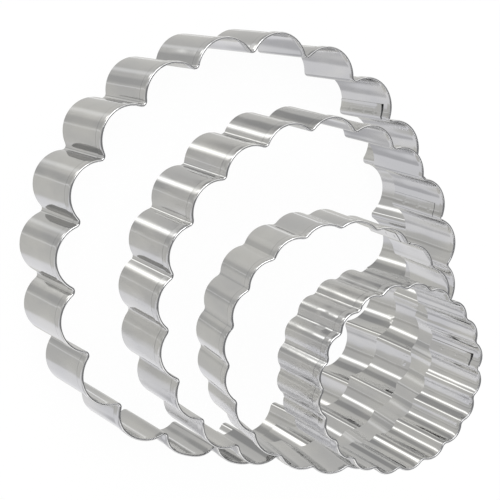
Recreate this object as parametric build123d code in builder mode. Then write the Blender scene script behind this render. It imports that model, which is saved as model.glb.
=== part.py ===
"""Nest of four fluted biscuit cutters, drawn out of one another as in the photo.

Millimetres, +Z up. The largest ring stands on its cutting edge at Z = 0, its hemmed rim up.
+X is the photo's right and +Y its upper side. The origin is the largest ring's axis at its edge.
"""
import os
from math import cos, degrees, pi, radians, sin, sqrt

from build123d import *

os.makedirs("parts", exist_ok=True)

# Steel strip
sheet = 0.35
hem_width = 2.6
hem_gap = 0.9
lap_width = 2.4
lap_short_of_rim = 3.0

# Fluted rings: diameter over the flutes' peaks, and height
largest_diameter = 97.4
large_diameter = 76.0
medium_diameter = 52.9
small_diameter = 38.5
largest_height = 19.0
large_height = 17.6
medium_height = 17.2
small_height = 17.0

# The same, from the largest to the smallest, with the flutes' depth as a share of the diameter
flutes = 20
names = ("largest_ring", "large_ring", "medium_ring", "small_ring")
peak_diameters = (largest_diameter, large_diameter, medium_diameter, small_diameter)
strip_heights = (largest_height, large_height, medium_height, small_height)
flute_depth_shares = (0.0411, 0.0309, 0.0208, 0.0234)
seam_angles = (45.0, 28.5, 62.2, 4.9)

# Place of each smaller ring in the one it was drawn out of
mesh_depths = (0.05, 0.15, -0.45)
engagements = (1.3, 3.9, 3.0)
rest_angles = (-46.9, -72.5, -30.4)
lifts_of_right_side = (0.0, 11.0, 4.2)
lifts_of_upper_side = (2.4, 0.0, 0.0)

flute_angle = 2 * pi / flutes
crease_diameters = [
    peak * (1 - 2 * share) for peak, share in zip(peak_diameters, flute_depth_shares)
]


def lobe(ring):
    """Radius of a flute's arc and the distance of the arc's centre from the axis."""
    peak = peak_diameters[ring] / 2
    crease = crease_diameters[ring] / 2
    half_chord = crease * sin(flute_angle / 2)
    rise = peak - crease * cos(flute_angle / 2)
    arc = (half_chord**2 + rise**2) / (2 * rise)
    return arc, peak - arc


def wall_radius(ring, shift, from_peak):
    """Distance from the axis to the shifted wall, at an angle from the flute's peak."""
    arc, centre = lobe(ring)
    along = centre * cos(from_peak)
    across = centre * sin(from_peak)
    return along + sqrt((arc + shift) ** 2 - across**2)


def polar(radius, angle):
    return (radius * cos(angle), radius * sin(angle))


def flute_outline(ring, shift):
    """Closed line of arcs that meet in sharp creases, shifted outward from the strip's outside."""
    first = radians(seam_angles[ring])
    crease = wall_radius(ring, shift, flute_angle / 2)
    peak = peak_diameters[ring] / 2 + shift
    for flute in range(flutes):
        start = first + flute * flute_angle
        ThreePointArc(
            polar(crease, start),
            polar(peak, start + flute_angle / 2),
            polar(crease, start + flute_angle),
        )


def seats():
    """Place of each ring: the centre of its cutting edge, with its axis as Z."""
    places = [Location((0, 0, 0))]
    for ring in range(1, len(names)):
        larger = ring - 1
        inside = crease_diameters[larger] / 2 - sheet
        reach = inside - peak_diameters[ring] / 2 + mesh_depths[larger]
        x, y = polar(reach, radians(rest_angles[larger]))
        depth = strip_heights[larger] - engagements[larger]
        point = (places[larger] * Pos(x, y, depth)).position
        turn = Rot(lifts_of_upper_side[larger], -lifts_of_right_side[larger], 0)
        places.append(Pos(*point) * turn)
    return places


def cutter(ring, seat):
    """One ring: the fluted strip, its hem folded outward, and its lapped ends."""
    height = strip_heights[ring]
    seam = radians(seam_angles[ring])
    beyond = peak_diameters[ring]
    lap_end = seam + 2 * lap_width / crease_diameters[ring]
    edge = Plane(seat)
    with BuildPart() as strip:
        with BuildSketch(edge):
            with BuildLine():
                flute_outline(ring, 0)
            make_face()
            with BuildLine():
                flute_outline(ring, -sheet)
            make_face(mode=Mode.SUBTRACT)
        extrude(amount=height)
        # Hem, folded out and pressed flat against the strip
        with BuildSketch(edge.offset(height - hem_width)):
            with BuildLine():
                flute_outline(ring, sheet)
            make_face()
            with BuildLine():
                flute_outline(ring, -sheet)
            make_face(mode=Mode.SUBTRACT)
        extrude(amount=hem_width)
        # Gap between the ends of the hem, at the seam
        with BuildSketch(edge.offset(height - hem_width)):
            with Locations(polar(beyond / 2, seam)):
                Rectangle(beyond / 2, hem_gap, rotation=degrees(seam))
            with BuildLine():
                flute_outline(ring, 0)
            make_face(mode=Mode.SUBTRACT)
        extrude(amount=hem_width, mode=Mode.SUBTRACT)
        # Inner end of the strip, lapped over the outer one from the seam's crease
        with BuildSketch(edge):
            with BuildLine():
                flute_outline(ring, -sheet)
            make_face()
            with BuildLine():
                flute_outline(ring, -2 * sheet)
            make_face(mode=Mode.SUBTRACT)
            with BuildLine():
                Polyline((0, 0), polar(beyond, seam), polar(beyond, lap_end), close=True)
            make_face(mode=Mode.INTERSECT)
        extrude(amount=height - lap_short_of_rim)
    return strip


for index, seat in enumerate(seats()):
    ring_part = cutter(index, seat)
    ring_part.part.label = names[index]
    export_step(ring_part.part, f"parts/{names[index]}.step")
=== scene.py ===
"""Nest of four fluted biscuit cutters in polished steel, drawn out of one another."""
from math import atan2, cos, hypot, pi, radians, remainder, sin

import bpy
from mathutils import Matrix, Vector


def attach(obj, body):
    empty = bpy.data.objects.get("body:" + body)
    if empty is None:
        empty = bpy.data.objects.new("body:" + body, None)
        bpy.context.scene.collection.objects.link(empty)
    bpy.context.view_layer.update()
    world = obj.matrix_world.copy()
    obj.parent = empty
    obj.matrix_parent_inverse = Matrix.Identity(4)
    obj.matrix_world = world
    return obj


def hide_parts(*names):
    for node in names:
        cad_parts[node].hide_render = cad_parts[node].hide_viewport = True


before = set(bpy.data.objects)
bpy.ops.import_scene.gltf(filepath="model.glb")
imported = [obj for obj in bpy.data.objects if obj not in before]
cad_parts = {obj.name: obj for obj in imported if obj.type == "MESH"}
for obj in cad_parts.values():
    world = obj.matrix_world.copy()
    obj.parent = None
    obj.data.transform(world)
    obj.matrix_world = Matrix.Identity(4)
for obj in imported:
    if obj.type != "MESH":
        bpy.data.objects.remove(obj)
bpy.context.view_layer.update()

MM = 0.001

# Sizes of the rings as in the part's source, from the largest ring to the smallest. The tuples hold
# lengths in mm, angles in degrees and shares
SHEET = 0.35 * MM
HEM_WIDTH = 2.6 * MM
HEM_GAP = 0.9 * MM
LAP_WIDTH = 2.4 * MM
LAP_SHORT_OF_RIM = 3.0 * MM
FLUTES = 20
FLUTE = 2 * pi / FLUTES
RINGS = ("largest_ring", "large_ring", "medium_ring", "small_ring")
PEAK_DIAMETERS = (97.4, 76.0, 52.9, 38.5)
FLUTE_DEPTH_SHARES = (0.0411, 0.0309, 0.0208, 0.0234)
CREASE_DIAMETERS = [
    peak * (1 - 2 * share) for peak, share in zip(PEAK_DIAMETERS, FLUTE_DEPTH_SHARES)
]
STRIP_HEIGHTS = (19.0, 17.6, 17.2, 17.0)
SEAM_ANGLES = (45.0, 28.5, 62.2, 4.9)
MESH_DEPTHS = (0.05, 0.15, -0.45)
ENGAGEMENTS = (1.3, 3.9, 3.0)
REST_ANGLES = (-46.9, -72.5, -30.4)
LIFTS_OF_RIGHT_SIDE = (0.0, 11.0, 4.2)
LIFTS_OF_UPPER_SIDE = (2.4, 0.0, 0.0)

# Finer sizes that only the picture needs: the sheet, the radius of the fold's middle line, how far
# the hem leans back to the wall, and the radius of each ring's creases in mm
STEEL = 0.22 * MM
FOLD = 0.14 * MM
HEM_PRESS = 0.055 * MM
CREASE_BENDS = (0.9, 0.95, 1.2, 1.3)

# Rows and columns of faces, and the area of a face that is fine enough for a dent
LOBE_STEPS = 12
CREASE_STEPS = 4
FOLD_STEPS = 8
HEM_STEPS = 3
WALL_ROWS = 10
EDGE_ROW = 0.4 * MM
LAP_CUTS = 5
DENT_CUTS = 4
FINE_FACE = 0.1 * MM**2

# Distance that counts as none in a test, distance of points that are merged, and the angle between
# faces up to which their edge looks smooth
TINY = MM / 100
MERGE = MM / 500
SMOOTH_BELOW = radians(35)

# Each ring's waves: size and depth in mm
WAVES = (
    ((14, 0.13), (6, 0.012)),
    ((12, 0.12), (5, 0.015)),
    ((10, 0.10), (4, 0.012)),
    ((7, 0.09), (3.5, 0.015)),
)

# Each ring's dents: degrees round from the peak beside the seam, then height, radius and depth in
# mm, and how far beyond the radius the faces are made finer
DENTS = (
    ((285, 11.8, 1.1, 0.2),),
    ((292.8, 10.9, 0.7, 0.15),),
    (),
    ((131, 8.5, 2.8, 0.07), (136, 11.5, 1.8, -0.04), (173.5, 12.6, 1.0, 0.06)),
)
DENT_MARGIN = 1.2

# Each ring's sides pressed out of round: degrees round from the peak beside the seam, reach before
# and after that in degrees, and depth in mm. A crease takes the first share of the depth, a crest
# both shares
PRESSED_SIDES = (((203, 38, 30, 2.4),), (), (), ())
SHARE_AT_CREASE = 0.65
SHARE_ADDED_AT_CREST = 0.45

# The lapped end: how far inside the wall it lies and how far its free top corner springs off, in
# mm, from how far below its top, with what share at the crease, and the spot welds that hold it,
# their heights in mm
LAP_SHIFTS = (0.15, 0.08, 0.08, 0.16)
LAP_SPRINGS = (0.22, 0.0, 0.0, 0.22)
SPRUNG_HEIGHT = 2.5 * MM
SPRUNG_AT_CREASE = 0.3
WELD_DEPTH = 0.05 * MM
WELD_RADIUS = 0.6 * MM
WELD_HEIGHTS = (4.0, 9.0, 13.0)

# How far off a wall still shows in the steel, as a share of the width of a flute
MIRROR_REACHES = (0.65, 0.65, 0.5, 0.25)


def seats():
    """Each ring's place: the centre of its cutting edge, with its axis as Z."""
    places = [Matrix.Identity(4)]
    for ring in range(1, len(RINGS)):
        larger = ring - 1
        inside = CREASE_DIAMETERS[larger] * MM / 2 - SHEET
        reach = inside - PEAK_DIAMETERS[ring] * MM / 2 + MESH_DEPTHS[larger] * MM
        angle = radians(REST_ANGLES[larger])
        depth = (STRIP_HEIGHTS[larger] - ENGAGEMENTS[larger]) * MM
        point = places[larger] @ Vector((reach * cos(angle), reach * sin(angle), depth))
        lift_x = radians(LIFTS_OF_UPPER_SIDE[larger])
        lift_y = radians(-LIFTS_OF_RIGHT_SIDE[larger])
        turn = Matrix.Rotation(lift_x, 4, "X") @ Matrix.Rotation(lift_y, 4, "Y")
        places.append(Matrix.Translation(point) @ turn)
    return places


def only(piece):
    """Selects one piece and nothing else."""
    bpy.ops.object.select_all(action="DESELECT")
    piece.select_set(True)
    bpy.context.view_layer.objects.active = piece


def pick_points(piece, test):
    """In edit mode, selects the points whose place passes the test."""
    bpy.ops.mesh.select_mode(type="VERT")
    bpy.ops.mesh.select_all(action="DESELECT")
    bpy.ops.object.mode_set(mode="OBJECT")
    for point in piece.data.vertices:
        point.select = test(point.co)
    bpy.ops.object.mode_set(mode="EDIT")


def upright_line(x, heights):
    """A standing line of points at (x, 0) from a plane of which one side is kept."""
    first = heights[1] - heights[0]
    middle = (x, first / 2, (heights[0] + heights[1]) / 2)
    bpy.ops.mesh.primitive_plane_add(size=first, location=middle, rotation=(0, pi / 2, 0))
    line = bpy.context.object
    bpy.ops.object.transform_apply(location=True, rotation=True, scale=True)
    bpy.ops.object.mode_set(mode="EDIT")
    pick_points(line, lambda place: place.y > first / 2)
    bpy.ops.mesh.delete(type="VERT")
    for low, high in zip(heights[1:], heights[2:]):
        pick_points(line, lambda place: place.z > low - TINY)
        extrude_by((0, 0, high - low))
    bpy.ops.object.mode_set(mode="OBJECT")
    return line


def extrude_by(step):
    """Extrudes what is selected by one step."""
    bpy.ops.mesh.extrude_region_move(TRANSFORM_OT_translate={"value": step})


def flute_arcs(ring):
    """The lobe's centre and radius, the crease's centre, and the angles that the two arcs turn."""
    peak = PEAK_DIAMETERS[ring] * MM / 2
    bend = CREASE_BENDS[ring] * MM
    out = CREASE_DIAMETERS[ring] * MM / 2 + bend
    reach = peak + bend
    centre = (reach**2 - out**2) / (2 * (reach - out * cos(FLUTE / 2)))
    bend_place = Vector((out * cos(FLUTE / 2), out * sin(FLUTE / 2), 0))
    lobe_turn = atan2(bend_place.y, bend_place.x - centre)
    return centre, peak - centre, bend_place, lobe_turn, lobe_turn - FLUTE / 2


def spin_selected(centre, turn, steps, axis=(0, 0, 1)):
    """Sweeps the selected points round an axis, anticlockwise for a positive turn."""
    bpy.ops.mesh.spin(steps=steps, angle=-turn, center=centre, axis=axis)


def folded_profile(ring):
    """The strip's section at a peak: wall, fold and hem, its points marked by their way along."""
    height = STRIP_HEIGHTS[ring] * MM
    centre, lobe = flute_arcs(ring)[:2]
    wall = centre + lobe - STEEL / 2
    fold_height = height - FOLD - STEEL / 2
    lap_top = height - LAP_SHORT_OF_RIM
    hem_low = height - HEM_WIDTH
    rows = [0, EDGE_ROW] + [lap_top * row / WALL_ROWS for row in range(1, WALL_ROWS + 1)]
    section = upright_line(wall, rows + [hem_low, (hem_low + fold_height) / 2, fold_height])
    bpy.ops.object.mode_set(mode="EDIT")
    pick_points(section, lambda place: place.z > fold_height - TINY)
    spin_selected((wall + FOLD, 0, fold_height), pi, FOLD_STEPS, axis=(0, 1, 0))
    for step in range(HEM_STEPS):
        extrude_by((-HEM_PRESS / HEM_STEPS, 0, -(fold_height - hem_low) / HEM_STEPS))
    bpy.ops.object.mode_set(mode="OBJECT")
    mark = section.data.attributes.new("along", "FLOAT", "POINT")
    for point in section.data.vertices:
        x, y, z = point.co
        over = z - fold_height
        if over > TINY:
            way = FOLD * atan2(over, wall + FOLD - x)
        elif x < wall + FOLD:
            way = over
        else:
            way = FOLD * pi - over
        mark.data[point.index].value = way / MM
    return section


def fluted_strip(ring):
    """The bent strip with its folded rim, as a sheet without thickness, a peak at angle 0."""
    centre, lobe, bend_place, lobe_turn, crease_turn = flute_arcs(ring)
    strip = folded_profile(ring)
    bpy.ops.object.mode_set(mode="EDIT")
    bpy.ops.mesh.select_all(action="SELECT")
    spin_selected((centre, 0, 0), lobe_turn, LOBE_STEPS)
    spin_selected(bend_place, -crease_turn, CREASE_STEPS)
    bpy.ops.object.mode_set(mode="OBJECT")
    mirror = strip.modifiers.new("other half", "MIRROR")
    mirror.use_axis = (False, True, False)
    mirror.merge_threshold = MERGE
    bpy.ops.object.modifier_apply(modifier=mirror.name)
    bpy.ops.object.mode_set(mode="EDIT")
    bpy.ops.mesh.select_all(action="SELECT")
    bpy.ops.mesh.spin(
        steps=FLUTES - 1, angle=2 * pi - FLUTE, center=(0, 0, 0), axis=(0, 0, 1), dupli=True
    )
    bpy.ops.mesh.select_all(action="SELECT")
    bpy.ops.mesh.remove_doubles(threshold=MERGE)
    bpy.ops.mesh.normals_make_consistent(inside=False)
    bpy.ops.object.mode_set(mode="OBJECT")
    return strip


def angle_of(place):
    """The angle of a place round the ring's axis."""
    return atan2(place.y, place.x)


def ways_along(piece):
    """How far along the strip's width each point lies, in mm from where the fold begins."""
    return [mark.value for mark in piece.data.attributes["along"].data]


def pick_faces(piece, test):
    """In edit mode, selects the faces that pass the test."""
    bpy.ops.mesh.select_mode(type="FACE")
    bpy.ops.mesh.select_all(action="DESELECT")
    bpy.ops.object.mode_set(mode="OBJECT")
    for face in piece.data.polygons:
        face.select = test(face)
    bpy.ops.object.mode_set(mode="EDIT")


def lapped_end(strip, ring):
    """The strip's inner end: a copy of the wall beside the seam's crease, set inside it."""
    seam = -FLUTE / 2
    reach = LAP_WIDTH / (CREASE_DIAMETERS[ring] * MM / 2)
    top = STRIP_HEIGHTS[ring] * MM - LAP_SHORT_OF_RIM
    only(strip)
    bpy.ops.object.duplicate()
    lap = bpy.context.object
    along = ways_along(lap)
    limit = (top - STRIP_HEIGHTS[ring] * MM + FOLD + STEEL / 2 + TINY) / MM

    def beside_seam(face):
        low = all(along[point] < limit for point in face.vertices)
        return low and seam < angle_of(face.center) < seam + reach

    bpy.ops.object.mode_set(mode="EDIT")
    pick_faces(lap, lambda face: not beside_seam(face))
    bpy.ops.mesh.delete(type="FACE")
    bpy.ops.mesh.select_mode(type="VERT")
    bpy.ops.mesh.select_all(action="SELECT")
    bpy.ops.mesh.subdivide(number_cuts=LAP_CUTS)
    bpy.ops.object.mode_set(mode="OBJECT")
    middle = seam + reach / 2
    facings = [point.normal.copy() for point in lap.data.vertices]
    for point, facing in zip(lap.data.vertices, facings):
        place = point.co
        flat = Vector((place.x, place.y, 0))
        inward = LAP_SHIFTS[ring] * MM
        near_top = max(0, 1 - (top - place.z) / SPRUNG_HEIGHT)
        from_crease = (angle_of(place) - seam) / reach
        free = SPRUNG_AT_CREASE + (1 - SPRUNG_AT_CREASE) * from_crease
        inward += LAP_SPRINGS[ring] * MM * (near_top * free) ** 2
        across = (angle_of(place) - middle) * flat.length
        for height in WELD_HEIGHTS:
            away = hypot(across, place.z - height * MM) / WELD_RADIUS
            if away < 1:
                inward -= WELD_DEPTH * cos(away * pi / 2) ** 2
        outward = 1 if facing.dot(flat) > 0 else -1
        point.co = place - facing * outward * inward
    thicken(lap)
    return lap


def thicken(piece):
    """Gives a sheet the thickness of the steel, half of it to each side."""
    only(piece)
    wall = piece.modifiers.new("sheet", "SOLIDIFY")
    wall.thickness = STEEL
    wall.offset = 0
    wall.use_even_offset = True
    bpy.ops.object.modifier_apply(modifier=wall.name)


def open_hem(strip, ring):
    """Takes the hem away in the seam's crease, where its two ends don't quite meet."""
    seam = -FLUTE / 2
    along = ways_along(strip)
    start = FOLD / MM

    def in_gap(face):
        past_wall = all(along[point] > start for point in face.vertices)
        flat = Vector((face.center.x, face.center.y, 0))
        across = abs(angle_of(face.center) - seam) * flat.length
        return past_wall and across < HEM_GAP / 2

    only(strip)
    bpy.ops.object.mode_set(mode="EDIT")
    pick_faces(strip, in_gap)
    bpy.ops.mesh.delete(type="FACE")
    bpy.ops.object.mode_set(mode="OBJECT")


def ripple(strip, ring):
    """Lets the pressed wall wave a little, as thin sheet does."""
    only(strip)
    for size, depth in WAVES[ring]:
        waves = bpy.data.textures.new("sheet_waves", "CLOUDS")
        waves.noise_scale = size * MM
        waves.noise_depth = 1
        push = strip.modifiers.new("waves", "DISPLACE")
        push.texture = waves
        push.texture_coords = "LOCAL"
        push.strength = depth * MM
        push.mid_level = 0.5
        bpy.ops.object.modifier_apply(modifier=push.name)


def dent(strip, degrees_round, height, reach, depth):
    """Pushes a small round dent into the wall, on a patch of finer faces."""
    angle = radians(degrees_round)
    middle_radius = max(hypot(point.co.x, point.co.y) for point in strip.data.vertices)
    middle = Vector((middle_radius * cos(angle), middle_radius * sin(angle), height * MM))

    def way_off(place):
        return (place - middle).length

    def coarse_and_near(face):
        flat = Vector((face.center.x, face.center.y, 0)).normalized() * middle_radius
        near = way_off(flat + Vector((0, 0, face.center.z))) < (reach + DENT_MARGIN) * MM
        return near and face.area > FINE_FACE

    only(strip)
    bpy.ops.object.mode_set(mode="EDIT")
    pick_faces(strip, coarse_and_near)
    bpy.ops.mesh.subdivide(number_cuts=DENT_CUTS)
    bpy.ops.object.mode_set(mode="OBJECT")
    facings = [point.normal.copy() for point in strip.data.vertices]
    for point, facing in zip(strip.data.vertices, facings):
        flat = Vector((point.co.x, point.co.y, 0)).normalized() * middle_radius
        away = way_off(flat + Vector((0, 0, point.co.z))) / (reach * MM)
        if away < 1:
            outward = 1 if facing.dot(flat) > 0 else -1
            point.co -= facing * outward * depth * MM * cos(away * pi / 2) ** 2


def press_side(strip, degrees_round, reach_before, reach_after, depth):
    """Bends one side of the ring inward, out of round, its crests more than its creases."""
    for point in strip.data.vertices:
        angle = angle_of(point.co)
        turn = remainder(angle - radians(degrees_round), 2 * pi)
        off = turn / radians(reach_after if turn > 0 else reach_before)
        if abs(off) < 1:
            on_crest = (1 + cos(angle * FLUTES)) / 2
            share = SHARE_AT_CREASE + SHARE_ADDED_AT_CREST * on_crest
            flat = Vector((point.co.x, point.co.y, 0)).normalized()
            point.co -= flat * depth * MM * share * cos(off * pi / 2) ** 2


def finish_ring(ring, seat, steel):
    """One ring: strip, open hem, lapped end, its thickness and its place."""
    strip = fluted_strip(ring)
    ripple(strip, ring)
    for place in DENTS[ring]:
        dent(strip, *place)
    for side in PRESSED_SIDES[ring]:
        press_side(strip, *side)
    lap = lapped_end(strip, ring)
    open_hem(strip, ring)
    thicken(strip)
    only(strip)
    lap.select_set(True)
    bpy.ops.object.join()
    own = strip.data.attributes.new("ring_place", "FLOAT_VECTOR", "POINT")
    for point in strip.data.vertices:
        own.data[point.index].vector = point.co
    reach = strip.data.attributes.new("mirror_reach", "FLOAT", "POINT")
    for mark in reach.data:
        mark.value = MIRROR_REACHES[ring] * CREASE_DIAMETERS[ring] * MM * sin(FLUTE / 2)
    turn = Matrix.Rotation(radians(SEAM_ANGLES[ring]) + FLUTE / 2, 4, "Z")
    strip.data.transform(seat @ turn)
    bpy.ops.object.shade_smooth_by_angle(angle=SMOOTH_BELOW)
    strip.data.materials.clear()
    strip.data.materials.append(steel)
    strip.name = RINGS[ring] + "_steel"
    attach(strip, RINGS[ring])
    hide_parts(RINGS[ring])


class Nodes:
    """Adds nodes to one tree and joins them."""

    def __init__(self, owner):
        owner.use_nodes = True
        self.tree = owner.node_tree

    def add(self, kind, **settings):
        node = self.tree.nodes.new("ShaderNode" + kind)
        for name, value in settings.items():
            setattr(node, name, value)
        return node

    def feed(self, socket, value):
        if isinstance(value, bpy.types.NodeSocket):
            self.tree.links.new(value, socket)
        else:
            socket.default_value = value

    def math(self, operation, first, second=0.0):
        node = self.add("Math", operation=operation)
        self.feed(node.inputs[0], first)
        self.feed(node.inputs[1], second)
        return node.outputs[0]

    def spread(self, value, low, high, to_low=0.0, to_high=1.0):
        node = self.add("MapRange", interpolation_type="SMOOTHSTEP")
        for socket, number in zip(node.inputs, (value, low, high, to_low, to_high)):
            self.feed(socket, number)
        return node.outputs[0]

    def blend_colours(self, share, first, second):
        node = self.add("Mix", data_type="RGBA")
        self.feed(node.inputs[0], share)
        self.feed(node.inputs[6], first)
        self.feed(node.inputs[7], second)
        return node.outputs[2]

    def noise(self, place, scale, detail=2.0):
        node = self.add("TexNoise")
        self.feed(node.inputs["Vector"], place)
        self.feed(node.inputs["Scale"], scale)
        self.feed(node.inputs["Detail"], detail)
        return node.outputs["Fac"]

    def stretched(self, place, scale):
        node = self.add("Mapping")
        self.feed(node.inputs["Vector"], place)
        self.feed(node.inputs["Scale"], scale)
        return node.outputs["Vector"]


# Tones of the steel, how finely its drawing lines and smears run, and its roughness. A dark line of
# painted shade lies along the hem's cut edge, on the last part of the way along the strip, in mm
CLEAN_STEEL = (0.57, 0.57, 0.575, 1)
BRIGHT_STEEL = (0.66, 0.655, 0.64, 1)
# Painted shade: the colour of the dark line along the hem's cut edge
HEM_EDGE_SHADE = (0.45, 0.45, 0.45, 1)
# Painted shade: the darker colour of the inner half of the fold
FOLD_SHADE = (0.45, 0.45, 0.455, 1)
STREAK_SCALE = 420
STREAK_STRETCH = (1, 1, 0.04)
SMEAR_SCALE = 130
SMEAR_STRETCH = (1, 1, 0.4)
SHINIEST = 0.06
DULLEST = 0.16
FOLD_DULLNESS = 0.3
STREAK_STRENGTH = 0.04
STREAK_DEPTH = 0.1 * MM
EDGE_SHADE_BEGINS = 0.25
EDGE_SHADE_IS_FULL = 0.12

# What is left of the light of a reflection that passes a far wall
PASSING_TINT = (0.98, 0.98, 0.98, 1)


def polished_steel():
    """Bright rolled stainless steel, dull along the inner half of the folded rim, painted darker
    there as shade.
    """
    steel = bpy.data.materials.new("polished_steel")
    make = Nodes(steel)
    body = make.tree.nodes["Principled BSDF"]
    body.inputs["Metallic"].default_value = 1.0
    own = make.add("Attribute", attribute_name="ring_place").outputs["Vector"]
    along = make.add("Attribute", attribute_name="along").outputs["Fac"]
    streaks = make.noise(make.stretched(own, STREAK_STRETCH), STREAK_SCALE, 3)
    smears = make.noise(make.stretched(own, SMEAR_STRETCH), SMEAR_SCALE, 4)
    clean = make.blend_colours(make.spread(smears, 0.35, 0.7), CLEAN_STEEL, BRIGHT_STEEL)

    # Ways along the strip, in mm: the fold's top, and the hem's cut edge
    crest = FOLD / MM * pi / 2
    hem_edge = (HEM_WIDTH - STEEL / 2 - FOLD + FOLD * pi) / MM
    begun = make.spread(along, -0.05, 0.05)
    # The inner half of the fold: rougher, and painted darker as shade
    on_fold = make.math("MULTIPLY", begun, make.spread(along, crest, crest * 1.5, 1.0, 0.0))
    # A dark line of painted shade along the hem's cut edge
    at_edge = make.spread(along, hem_edge - EDGE_SHADE_BEGINS, hem_edge - EDGE_SHADE_IS_FULL)
    edge_shaded = make.blend_colours(at_edge, clean, HEM_EDGE_SHADE)
    make.feed(body.inputs["Base Color"], make.blend_colours(on_fold, edge_shaded, FOLD_SHADE))
    shine = make.spread(smears, 0.3, 0.75, SHINIEST, DULLEST)
    dull_fold = make.math("MULTIPLY", on_fold, FOLD_DULLNESS)
    make.feed(body.inputs["Roughness"], make.math("MAXIMUM", shine, dull_fold))
    bump = make.add("Bump")
    bump.inputs["Strength"].default_value = STREAK_STRENGTH
    bump.inputs["Distance"].default_value = STREAK_DEPTH
    make.feed(bump.inputs["Height"], streaks)
    make.feed(body.inputs["Normal"], bump.outputs["Normal"])
    mirror_only_near(make, body)
    return steel


def mirror_only_near(make, body):
    """Lets a reflection pass a wall that is further off than the ring's reach, to the room."""
    path = make.add("LightPath")
    far = make.add("MixShader")
    reach = make.add("Attribute", attribute_name="mirror_reach").outputs["Fac"]
    make.feed(far.inputs[0], make.math("GREATER_THAN", path.outputs["Ray Length"], reach))
    make.feed(far.inputs[1], body.outputs[0])
    beyond = make.add("BsdfTransparent")
    make.feed(beyond.inputs["Color"], PASSING_TINT)
    make.feed(far.inputs[2], beyond.outputs[0])
    whole = make.add("MixShader")
    make.feed(whole.inputs[0], path.outputs["Is Glossy Ray"])
    make.feed(whole.inputs[1], body.outputs[0])
    make.feed(whole.inputs[2], far.outputs[0])
    make.feed(make.tree.nodes["Material Output"].inputs["Surface"], whole.outputs[0])


# The room as the steel shows it, laid out on a level plane at a distance of 1 below. Each card: the
# direction it lies in, in degrees, how far out it begins and ends, its middle and half width
# across, its softness, and its tone. The walls show the side cards, far out, only in low views
ROOM = {
    "cool_card": (-90, 0.42, 2.2, -0.75, 1.2, 0.03, (0.93, 0.93, 0.955)),
    "cool_card_at_left": (229.6, 0.575, 2.2, 0.0, 3.0, 0.03, (0.92, 0.92, 0.945)),
    "dark_card_at_left": (151, 0.15, 0.62, 0.0, 0.11, 0.05, (0.53, 0.53, 0.52)),
    "dark_card_at_back": (88, 0.68, 1.6, 0.0, 0.22, 0.07, (0.41, 0.41, 0.405)),
    "dark_card_at_right": (8, 0.80, 1.6, -0.1, 0.35, 0.1, (0.48, 0.48, 0.47)),
    "darkest_card": (20, 0.90, 1.6, 0.0, 0.12, 0.08, (0.33, 0.33, 0.33)),
    "tan_card_at_left": (180, 0.79, 1.6, 0.07, 0.37, 0.03, (0.67, 0.665, 0.645)),
    "dark_strip_at_left": (180, 0.68, 1.6, -0.19, 0.06, 0.05, (0.53, 0.525, 0.505)),
    "grey_card_below": (-90, 0.61, 0.74, 0.0, 0.5, 0.05, (0.62, 0.62, 0.64)),
    "tan_card": (-92, 0.80, 1.3, 0.0, 0.28, 0.05, (0.66, 0.655, 0.63)),
    "dark_card_at_lower_right": (-45, 0.84, 1.6, 0.0, 0.2, 0.08, (0.5, 0.5, 0.49)),
    "soft_lamp": (112, 0.38, 0.62, 0.0, 0.06, 0.05, (0.92, 0.92, 0.91)),
    "bright_lamp": (126, 0.58, 1.6, 0.0, 0.07, 0.10, (2.3, 2.3, 2.25)),
    "card_edge": (180, 0.2, 0.95, -0.08, 0.01, 0.012, (1.0, 1.0, 1.0)),
    "lamp_at_right": (28, 0.35, 0.74, 0.0, 0.03, 0.03, (1.15, 1.15, 1.15)),
    "side_dark_1": (15, 1.8, 9.0, 0.0, 0.5, 0.4, (0.34, 0.34, 0.34)),
    "side_lamp_1": (62, 1.8, 9.0, 0.0, 0.25, 0.15, (1.6, 1.6, 1.6)),
    "side_dark_2": (100, 1.8, 9.0, 0.0, 0.6, 0.4, (0.40, 0.40, 0.40)),
    "side_lamp_2": (158, 1.8, 9.0, 0.0, 0.3, 0.2, (1.3, 1.3, 1.3)),
    "side_dark_3": (205, 1.8, 9.0, 0.0, 0.5, 0.4, (0.36, 0.36, 0.36)),
    "side_lamp_3": (248, 1.8, 9.0, 0.0, 0.25, 0.15, (1.6, 1.6, 1.6)),
    "side_dark_4": (285, 1.8, 9.0, 0.0, 0.6, 0.4, (0.40, 0.40, 0.40)),
    "side_lamp_4": (330, 1.8, 9.0, 0.0, 0.3, 0.2, (1.3, 1.3, 1.3)),
}

# The background, the tone where no card lies, and the most softness of a card's near and far edge
WHITE = (1, 1, 1, 1)
PLAIN_TONE = (0.68, 0.675, 0.655, 1)
EDGE_SOFTNESS = 0.03

# The room's upper half, dark in the middle and bright aside, which the rounded rim shows
UPPER_MIDDLE = (0.3, 0.3, 0.31, 1)
UPPER_SIDES = (1.6, 1.6, 1.6, 1)
SIDES_BEGIN = 0.45
SIDES_ARE_FULL = 0.65
UPPER_BEGINS = -0.1
UPPER_IS_FULL = 0.5

# Flattest slope that is laid out, and how much of the light a second reflection keeps
LOWEST_SLOPE = 0.15
SECOND_MIRROR = 0.75


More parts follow.
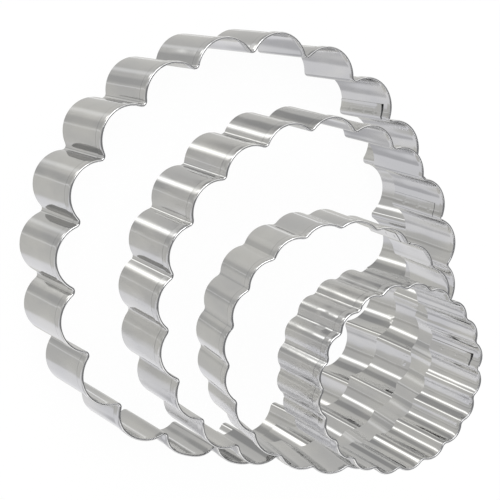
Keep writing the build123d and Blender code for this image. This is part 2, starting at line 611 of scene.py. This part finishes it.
def room(world):
    """Plain white to the camera, and in the steel broad soft cards of grey."""
    make = Nodes(world)
    background = make.tree.nodes["Background"]
    towards = make.add("TexCoord").outputs["Generated"]
    parts = make.add("SeparateXYZ")
    make.feed(parts.inputs[0], towards)
    slope = parts.outputs["Z"]
    down = make.math("MAXIMUM", make.math("MULTIPLY", slope, -1.0), LOWEST_SLOPE)
    flat = make.add("CombineXYZ")
    make.feed(flat.inputs[0], make.math("DIVIDE", parts.outputs["X"], down))
    make.feed(flat.inputs[1], make.math("DIVIDE", parts.outputs["Y"], down))

    def between(direction, low, high, soft):
        along = make.add("VectorMath", operation="DOT_PRODUCT")
        make.feed(along.inputs[0], flat.outputs[0])
        make.feed(along.inputs[1], (cos(radians(direction)), sin(radians(direction)), 0))
        way = along.outputs["Value"]
        begun = make.spread(way, low - soft, low + soft)
        return make.math("MULTIPLY", begun, make.spread(way, high - soft, high + soft, 1.0, 0.0))

    colour = PLAIN_TONE
    for direction, low, high, middle, half, soft, tone in ROOM.values():
        outward = between(direction, low, high, min(soft, EDGE_SOFTNESS))
        across = between(direction + 90, middle - half, middle + half, soft)
        colour = make.blend_colours(make.math("MULTIPLY", outward, across), colour, (*tone, 1))
    off_middle = make.math("ABSOLUTE", parts.outputs["Y"])
    aside = make.spread(off_middle, SIDES_BEGIN, SIDES_ARE_FULL)
    above = make.blend_colours(aside, UPPER_MIDDLE, UPPER_SIDES)
    upward = make.spread(slope, UPPER_BEGINS, UPPER_IS_FULL)
    colour = make.blend_colours(upward, colour, above)
    path = make.add("LightPath")
    again = make.spread(path.outputs["Glossy Depth"], 1.4, 1.6, 1.0, SECOND_MIRROR)
    dimmed = make.add("VectorMath", operation="SCALE")
    make.feed(dimmed.inputs[0], colour)
    make.feed(dimmed.inputs["Scale"], again)
    plain = make.math("SUBTRACT", 1.0, path.outputs["Is Glossy Ray"])
    make.feed(background.inputs["Color"], make.blend_colours(plain, dimmed.outputs[0], WHITE))
    background.inputs["Strength"].default_value = 1.0


# The table top: its size, how far it lies below the cutting edge, its paint, and the share of
# plain white that the camera sees in place of its paint and shadow
TABLE_SIZE = 6
TABLE_DROP = 0.1 * MM
TABLE_PAINT = (0.9, 0.9, 0.9, 1)
TABLE_ROUGHNESS = 0.9
SEEN_WHITE = 0.965


def table():
    """A plain white table top that keeps the rings' faint shadow."""
    bpy.ops.mesh.primitive_plane_add(size=TABLE_SIZE, location=(0, 0, -TABLE_DROP))
    floor = bpy.context.object
    floor.name = "table"
    paint = bpy.data.materials.new("white_table")
    make = Nodes(paint)
    body = make.tree.nodes["Principled BSDF"]
    body.inputs["Base Color"].default_value = TABLE_PAINT
    body.inputs["Roughness"].default_value = TABLE_ROUGHNESS
    out = make.tree.nodes["Material Output"]
    path = make.add("LightPath")
    white = make.add("Emission")
    seen = make.add("MixShader")
    make.feed(seen.inputs[0], make.math("MULTIPLY", path.outputs["Is Camera Ray"], SEEN_WHITE))
    make.feed(seen.inputs[1], body.outputs[0])
    make.feed(seen.inputs[2], white.outputs[0])
    mirrored = make.add("MixShader")
    make.feed(mirrored.inputs[0], path.outputs["Is Glossy Ray"])
    make.feed(mirrored.inputs[1], seen.outputs[0])
    make.feed(mirrored.inputs[2], make.add("BsdfTransparent").outputs[0])
    make.feed(out.inputs["Surface"], mirrored.outputs[0])
    floor.data.materials.append(paint)


# The one lamp, above and behind the rings at the left
LAMP_PLACE = (-0.25, 0.45, 0.7)
LAMP_SIZE = 0.5
LAMP_POWER = 3


def key_lamp():
    """A square studio lamp that points at the rings."""
    data = bpy.data.lights.new("key_lamp", "AREA")
    data.size = LAMP_SIZE
    data.energy = LAMP_POWER
    lamp = bpy.data.objects.new("key_lamp", data)
    bpy.context.scene.collection.objects.link(lamp)
    lamp.location = LAMP_PLACE
    lamp.rotation_euler = Vector(LAMP_PLACE).to_track_quat("Z", "Y").to_euler()


# The camera, worked out from the creases and outlines in the photo
LENS = 98.86
CAMERA_PLACE = (-0.163403, 0.046598, 0.267496)
CAMERA_RIGHT = Vector((0.84403, 0.09562, 0.52770))
CAMERA_UP = Vector((0.0, 0.98398, -0.17830))


def photo_camera():
    """Puts the camera where the photo was taken."""
    data = bpy.data.cameras.new("photo_camera")
    data.lens = LENS
    data.sensor_width = 36
    data.clip_start = 10 * MM
    camera = bpy.data.objects.new("photo_camera", data)
    bpy.context.scene.collection.objects.link(camera)
    back = CAMERA_RIGHT.cross(CAMERA_UP)
    turn = Matrix((CAMERA_RIGHT, CAMERA_UP, back)).transposed().to_4x4()
    camera.matrix_world = Matrix.Translation(CAMERA_PLACE) @ turn
    bpy.context.scene.camera = camera


photo_camera()
steel = polished_steel()
for ring, seat in enumerate(seats()):
    finish_ring(ring, seat, steel)
world = bpy.data.worlds.new("room")
bpy.context.scene.world = world
room(world)
table()
key_lamp()
bpy.context.scene.view_settings.view_transform = "Standard"
